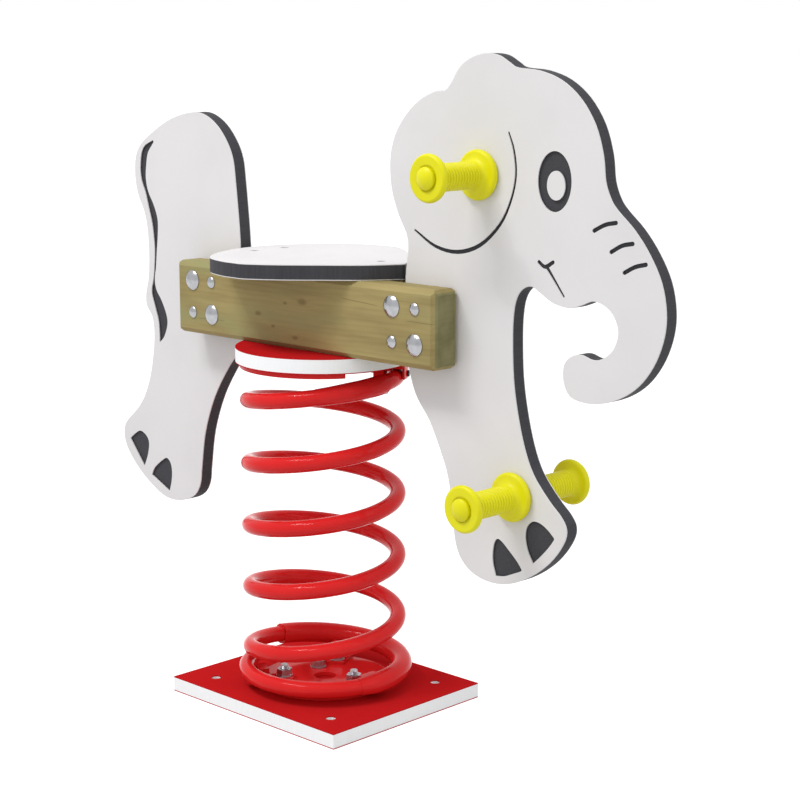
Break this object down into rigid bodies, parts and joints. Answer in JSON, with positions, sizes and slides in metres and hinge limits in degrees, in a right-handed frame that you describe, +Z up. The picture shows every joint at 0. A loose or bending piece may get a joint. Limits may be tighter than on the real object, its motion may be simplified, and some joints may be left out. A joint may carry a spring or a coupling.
{
  "type": "spring rider",
  "caption": "Playground spring rider: flat elephant panels bolted between timber beams, with a seat, handgrips and footrests, on one coil spring over a base plate for ground anchors.",
  "frame": {"origin": "middle of the base plate's underside, on the spring's axis, at the middle of the anchor holes", "axes": "+X forward, the way the elephant looks; +Y to the rider's left; +Z up along the spring"},
  "size_m": [0.9058, 0.2576, 0.7942],
  "materials": {
    "red_sheet": "three-layer sheet with red skins and a white core",
    "white_sheet": "three-layer sheet with white skins and a dark grey core",
    "red_steel": "glossy powder coat",
    "red_hose": "glossy hose",
    "zinc": "zinc plated",
    "bright_steel": "polished",
    "black_steel": "blackened",
    "timber": "pressure-treated pine, planed",
    "yellow_plastic": "moulded, glossy"
  },
  "bodies": {
    "base": {"base_plate": "red_sheet", "spring_foot_plate": "red_steel", "lower_clamps": "red_steel", "lower_clamp_bolts": "zinc", "lower_clamp_washers": "zinc", "lower_clamp_nuts": "zinc", "lower_coil_sleeve": "red_hose"},
    "spring": {"coil_spring": "red_steel"},
    "spring_head": {"upper_coil_sleeve": "red_hose"},
    "rider": {"upper_clamp_block": "red_steel", "upper_clamp_claw": "red_steel", "upper_clamp_bolts": "black_steel", "spring_top_plate": "red_steel", "top_disc": "red_sheet", "deck_screws": "zinc", "right_beam": "timber", "left_beam": "timber", "beam_spacer": "timber", "front_panel": "white_sheet", "rear_panel": "white_sheet", "beam_bolts": "bright_steel", "beam_sleeve_nuts": "bright_steel", "right_beam_screws": "bright_steel", "left_beam_screws": "bright_steel", "seat_plate": "white_sheet", "seat_screws": "zinc", "right_handgrip": "yellow_plastic", "left_handgrip": "yellow_plastic", "handgrip_rod": "zinc", "handgrip_caps": "yellow_plastic", "right_footrest": "yellow_plastic", "left_footrest": "yellow_plastic", "footrest_rod": "zinc", "footrest_caps": "yellow_plastic"}
  },
  "joints": [
    {"name": "bounce", "type": "slide", "parent": "base", "child": "spring", "axis": [0, 0, 1], "range_m": [-0.02, 0.008], "stiffness_N_per_m": 51500, "springref_m": 0.00362, "deforming": ["coil_spring"]},
    {"name": "rock_fore_aft", "type": "hinge", "parent": "spring", "child": "spring_head", "pos_m": [0, 0, 0.196], "axis": [0, 1, 0], "range_deg": [-18, 18], "stiffness_Nm_per_rad": 490, "springref_deg": -0.65, "deforming": ["coil_spring", "upper_coil_sleeve"]},
    {"name": "rock_sideways", "type": "hinge", "parent": "spring_head", "child": "rider", "pos_m": [0, 0, 0.329], "axis": [1, 0, 0], "range_deg": [-12, 12], "stiffness_Nm_per_rad": 490, "springref_deg": 0.01, "deforming": ["coil_spring", "upper_coil_sleeve"]}
  ]
}
